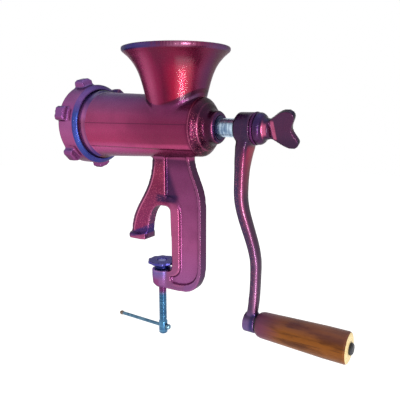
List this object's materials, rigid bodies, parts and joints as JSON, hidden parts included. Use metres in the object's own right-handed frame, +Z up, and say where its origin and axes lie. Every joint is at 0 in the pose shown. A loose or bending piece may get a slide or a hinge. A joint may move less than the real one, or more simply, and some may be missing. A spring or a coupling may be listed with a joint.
{
  "type": "manual meat grinder",
  "caption": "Hand-cranked meat grinder in red-magenta textured paint, with flared hopper, lugged ring nut, forked table clamp and turned wooden grip on an S-shaped crank",
  "frame": {"origin": "middle of the table foot's underside, where it rests on the table", "axes": "+X runs along the barrel from the ring nut to the crank, +Y across it, +Z up from the table; the barrel's axis is at Z 0.120 m"},
  "size_m": [0.3091, 0.105, 0.3],
  "materials": {
    "red_enamel": "glossy red-magenta enamel with a fine orange-peel grain on cast iron",
    "purple_enamel": "glossy purple enamel with a fine orange-peel grain on cast iron",
    "bright_steel": "turned steel, bluish",
    "tool_steel": "ground steel",
    "dark_steel": "dark oiled steel",
    "tinned_iron": "tinned casting, satin",
    "bronze": "turned bronze",
    "fibre": "vulcanised fibre",
    "varnished_wood": "clear gloss varnish over brown grained wood"
  },
  "bodies": {
    "casting": {"body_casting": "red_enamel", "rear_bush": "bronze", "thrust_washer": "fibre", "plate_key": "bright_steel"},
    "crank": {"auger_screw": "tinned_iron", "drive_shaft": "bright_steel", "knife_stud": "bright_steel", "cutter_knife": "tool_steel", "crank_arm": "red_enamel", "handle_spindle": "dark_steel", "grip_washer": "dark_steel"},
    "grip": {"wood_grip": "varnished_wood"},
    "wing_washer": {"crank_washer": "purple_enamel"},
    "wing": {"wing_screw": "red_enamel", "wing_stud": "bright_steel"},
    "plate": {"hole_plate": "tool_steel"},
    "ring": {"ring_nut": "purple_enamel"},
    "pad": {"clamp_pad": "purple_enamel"},
    "screw": {"clamp_screw": "bright_steel"},
    "bar": {"tommy_bar": "bright_steel"}
  },
  "joints": [
    {"name": "crank_turn", "type": "hinge", "parent": "casting", "child": "crank", "pos_m": [0.1, 0, 0.12], "axis": [1, 0, 0], "continuous": true},
    {"name": "grip_spin", "type": "hinge", "parent": "crank", "child": "grip", "pos_m": [0.19, 0, -0.065], "axis": [1, 0, 0], "continuous": true},
    {"name": "clamp_travel", "type": "slide", "parent": "casting", "child": "pad", "axis": [0, 0, 1], "range_m": [0, 0.02]},
    {"name": "clamp_turn", "type": "hinge", "parent": "pad", "child": "screw", "pos_m": [0.0278, 0, -0.03], "axis": [0, 0, 1], "range_deg": [0, 5760]},
    {"name": "bar_slide", "type": "slide", "parent": "screw", "child": "bar", "axis": [1, 0, 0], "range_m": [0, 0.053]},
    {"name": "ring_travel", "type": "slide", "parent": "casting", "child": "plate", "axis": [-1, 0, 0], "range_m": [0, 0.008]},
    {"name": "ring_turn", "type": "hinge", "parent": "plate", "child": "ring", "pos_m": [-0.06, 0, 0.12], "axis": [-1, 0, 0], "range_deg": [0, 720]},
    {"name": "wing_travel", "type": "slide", "parent": "crank", "child": "wing_washer", "axis": [1, 0, 0], "range_m": [0, 0.012]},
    {"name": "wing_turn", "type": "hinge", "parent": "wing_washer", "child": "wing", "pos_m": [0.14, 0, 0.12], "axis": [1, 0, 0], "range_deg": [0, 2160]}
  ],
  "couplings": [
    {"joint": "clamp_travel", "follows": "clamp_turn", "m_per_rad": 0.00019894},
    {"joint": "ring_travel", "follows": "ring_turn", "m_per_rad": 0.000636},
    {"joint": "wing_travel", "follows": "wing_turn", "m_per_rad": 0.000318}
  ]
}
